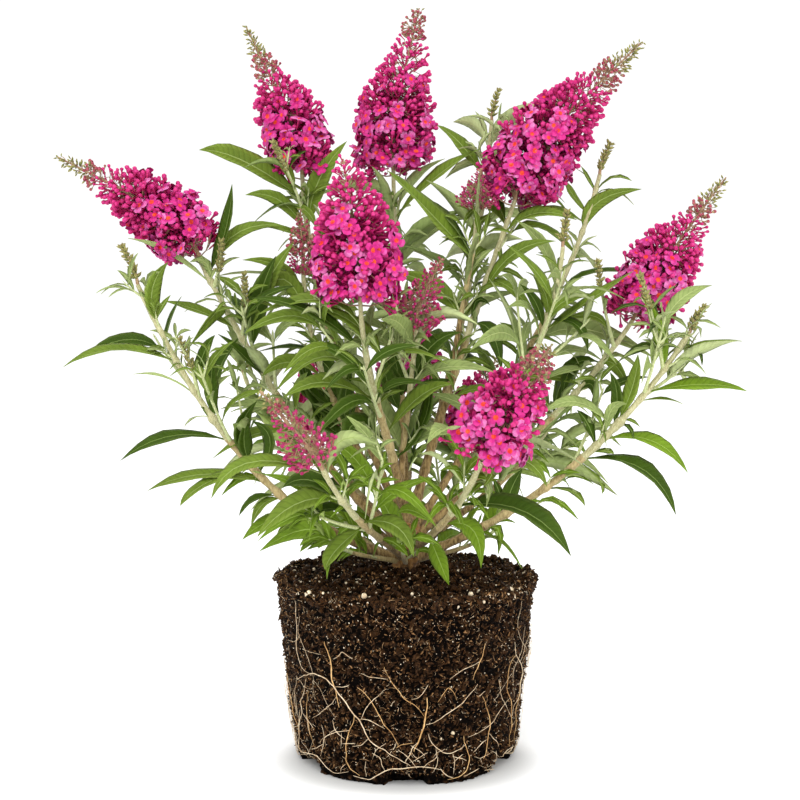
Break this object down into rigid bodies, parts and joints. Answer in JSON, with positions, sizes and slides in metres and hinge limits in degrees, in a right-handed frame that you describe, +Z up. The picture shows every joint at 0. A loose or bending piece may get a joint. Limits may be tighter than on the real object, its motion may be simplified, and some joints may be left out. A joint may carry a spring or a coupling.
{
  "type": "butterfly bush on its root ball",
  "caption": "Compact butterfly bush in flower on its bare root ball: a woody crown, leafy arching stems and cone-shaped clusters of magenta flowers.",
  "frame": {"origin": "centre of the root ball's flat underside, on the surface it stands on", "axes": "+Z up through the woody crown; -Y towards the side with the two low flower cones, so +X is to that viewer's right"},
  "size_m": [0.4882, 0.3764, 0.5417],
  "materials": {
    "soil": "crumbly damp potting mix with pale roots and white perlite",
    "bark": "matt, fissured bark",
    "stem": "matt, grey-felted towards the tips",
    "leaf": "satin green above, pale grey-green felt below",
    "blossom": "soft matt petals, magenta with orange eyes"
  },
  "bodies": {
    "root": {"root_ball": "soil", "woody_crown": "bark", "stem_front": "stem", "stem_inner_left": "stem", "stem_left": "stem", "stem_left_outer": "stem", "stem_low_left": "stem", "stem_low_right": "stem", "stem_rear_left": "stem", "stem_rear_left_outer": "stem", "stem_rear_middle": "stem", "stem_rear_right": "stem", "stem_rear_right_outer": "stem", "stem_right": "stem", "stem_right_outer": "stem", "stem_right_rear": "stem", "stem_top_left": "stem", "stem_top_middle": "stem", "stem_top_right": "stem", "stem_upper_rear": "stem", "leaves_foot_1": "leaf", "leaves_foot_2": "leaf", "leaves_foot_3": "leaf", "leaves_foot_4": "leaf", "leaves_foot_5": "leaf", "leaves_front": "leaf", "leaves_inner_left": "leaf", "leaves_inner_right": "leaf", "leaves_left": "leaf", "leaves_left_outer": "leaf", "leaves_low_left": "leaf", "leaves_low_right": "leaf", "leaves_middle": "leaf", "leaves_rear_left": "leaf", "leaves_rear_left_outer": "leaf", "leaves_rear_middle": "leaf", "leaves_rear_right": "leaf", "leaves_rear_right_outer": "leaf", "leaves_right": "leaf", "leaves_right_outer": "leaf", "leaves_right_rear": "leaf", "leaves_top_left": "leaf", "leaves_top_middle": "leaf", "leaves_top_right": "leaf", "leaves_upper_rear": "leaf", "leaves_upper_side": "leaf", "flowers_front": "blossom", "flowers_inner_left": "blossom", "flowers_left": "blossom", "flowers_low_left": "blossom", "flowers_low_right": "blossom", "flowers_middle": "blossom", "flowers_rear_left": "blossom", "flowers_rear_middle": "blossom", "flowers_rear_right": "blossom", "flowers_right": "blossom", "flowers_top_left": "blossom", "flowers_top_middle": "blossom", "flowers_top_right": "blossom", "flowers_upper_side": "blossom"}
  },
  "joints": []
}
